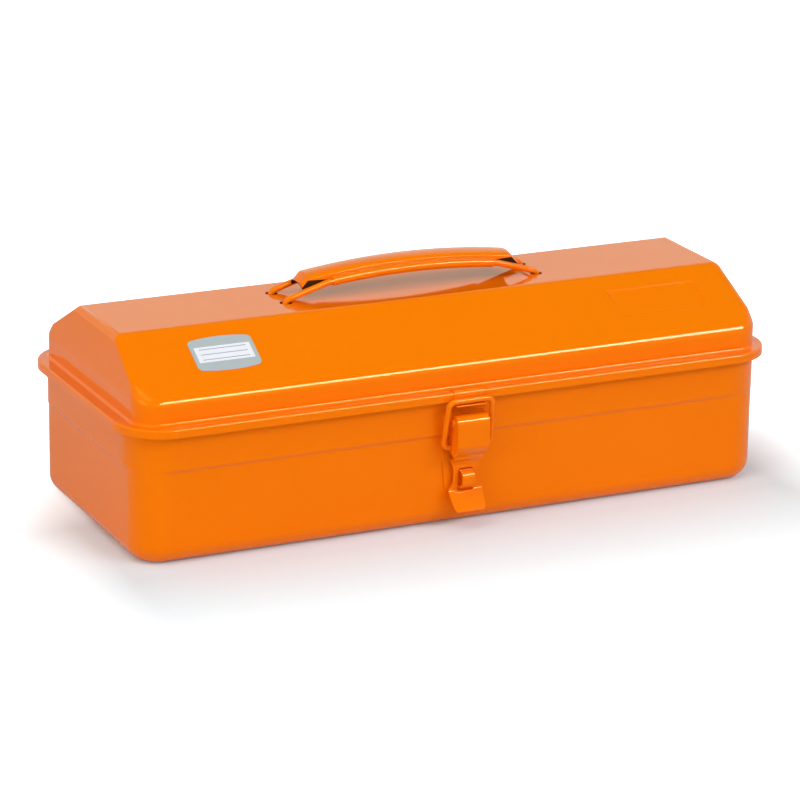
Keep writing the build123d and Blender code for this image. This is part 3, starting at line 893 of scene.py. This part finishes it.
def set_world():
    """White behind the box, tinted in its reflections, and a calmer white as light."""
    world = bpy.data.worlds.new("studio")
    bpy.context.scene.world = world
    world.use_nodes = True
    tree = world.node_tree
    rays = add_node(tree, "ShaderNodeLightPath").outputs
    seen = calculate(tree, "MAXIMUM", rays["Is Camera Ray"], rays["Is Glossy Ray"])
    seen = calculate(tree, "MAXIMUM", seen, rays["Is Transmission Ray"])
    strength = rescale(tree, seen, (0.0, 1.0), (WORLD_LIGHT, 1.0))
    direction = add_node(tree, "ShaderNodeTexCoord").outputs["Generated"]
    height = add_node(tree, "ShaderNodeSeparateXYZ", {"Vector": direction}).outputs["Z"]
    overhead = rescale(tree, height, (OVERHEAD_START, OVERHEAD_FULL), (0.0, 1.0))
    dimmed = rescale(tree, overhead, (0.0, 1.0), (1.0, OVERHEAD_LIGHT))
    # The gloss mirrors all of the brightness overhead, which is dimmed as light.
    mirrored = calculate(tree, "MULTIPLY", rays["Is Glossy Ray"], overhead)
    low_tint = mix_colours(tree, rays["Is Glossy Ray"], WHITE, MIRRORED_LOW)
    level = calculate(tree, "MAXIMUM", dimmed, mirrored)
    background = tree.nodes["Background"].inputs
    feed(tree, background["Color"], mix_colours(tree, mirrored, low_tint, MIRRORED_OVERHEAD))
    feed(tree, background["Strength"], calculate(tree, "MULTIPLY", strength, level))


def set_camera():
    """A long lens from the front left, a little above the lid."""
    back = Vector(
        (
            math.sin(CAMERA_AZIMUTH) * math.cos(CAMERA_ELEVATION),
            -math.cos(CAMERA_AZIMUTH) * math.cos(CAMERA_ELEVATION),
            math.sin(CAMERA_ELEVATION),
        )
    )
    level = (-back).cross(Vector((0.0, 0.0, 1.0))).normalized()
    upright = level.cross(-back)
    side = level * math.cos(CAMERA_ROLL) + upright * math.sin(CAMERA_ROLL)
    top = upright * math.cos(CAMERA_ROLL) - level * math.sin(CAMERA_ROLL)
    data = bpy.data.cameras.new("camera")
    data.lens = CAMERA_LENS
    data.sensor_width = CAMERA_SENSOR
    data.clip_start = CAMERA_NEAR
    data.clip_end = CAMERA_FAR
    camera = bpy.data.objects.new("camera", data)
    camera.matrix_world = Matrix((side, top, back)).transposed().to_4x4()
    camera.location = Vector(CAMERA_TARGET) + back * CAMERA_DISTANCE
    bpy.context.scene.collection.objects.link(camera)
    bpy.context.scene.camera = camera


class TOOLBOX_OT_stage(bpy.types.Operator):
    """Build the floor, the lights and the camera"""

    bl_idname = "toolbox.stage"
    bl_label = "Stage"

    def execute(self, context):
        stage = context.scene.tool_box.stage
        bm = bmesh.new()
        bmesh.ops.create_grid(bm, x_segments=1, y_segments=1, size=stage.floor_size / 2)
        mesh = bpy.data.meshes.new("floor")
        bm.to_mesh(mesh)
        bm.free()
        mesh.materials.append(floor_material())
        floor = bpy.data.objects.new("floor", mesh)
        context.scene.collection.objects.link(floor)
        area_light("key", stage.key_power)
        gleam = area_light("gleam", stage.gleam_power)
        gleam.visible_diffuse = False
        gleam.data.color = stage.gleam_tint
        area_light("fill", stage.fill_power)
        area_light("top", stage.top_power)
        area_light("side", stage.side_power)
        set_world()
        set_camera()
        context.scene.view_settings.view_transform = "Standard"
        return {"FINISHED"}


class TOOLBOX_PT_panel(bpy.types.Panel):
    """The tool box's settings and steps"""

    bl_label = "Tool Box"
    bl_idname = "TOOLBOX_PT_panel"
    bl_space_type = "VIEW_3D"
    bl_region_type = "UI"
    bl_category = "Tool Box"

    def draw(self, context):
        settings = context.scene.tool_box
        for group in (
            settings.finish, settings.label, settings.grip, settings.latch, settings.stage
        ):
            column = self.layout.column(align=True)
            for name in group.__annotations__:
                column.prop(group, name)
        for step in STEPS:
            self.layout.operator(step.bl_idname)


STEPS = (
    TOOLBOX_OT_enamel,
    TOOLBOX_OT_shells,
    TOOLBOX_OT_latch,
    TOOLBOX_OT_grip,
    TOOLBOX_OT_bail,
    TOOLBOX_OT_label,
    TOOLBOX_OT_stage,
)
CLASSES = (
    ToolBoxFinish,
    ToolBoxLabel,
    ToolBoxGrip,
    ToolBoxLatch,
    ToolBoxStage,
    ToolBoxSettings,
    *STEPS,
    TOOLBOX_PT_panel,
)


def register():
    """Register the classes and the scene's settings."""
    for cls in CLASSES:
        bpy.utils.register_class(cls)
    bpy.types.Scene.tool_box = bpy.props.PointerProperty(type=ToolBoxSettings)


def unregister():
    """Take the classes and the settings away again."""
    del bpy.types.Scene.tool_box
    for cls in reversed(CLASSES):
        bpy.utils.unregister_class(cls)


def main():
    """Build every piece in order."""
    register()
    bpy.ops.toolbox.enamel()
    bpy.ops.toolbox.shells()
    bpy.ops.toolbox.latch()
    bpy.ops.toolbox.grip()
    bpy.ops.toolbox.bail()
    bpy.ops.toolbox.label()
    bpy.ops.toolbox.stage()


if __name__ == "__main__":
    main()
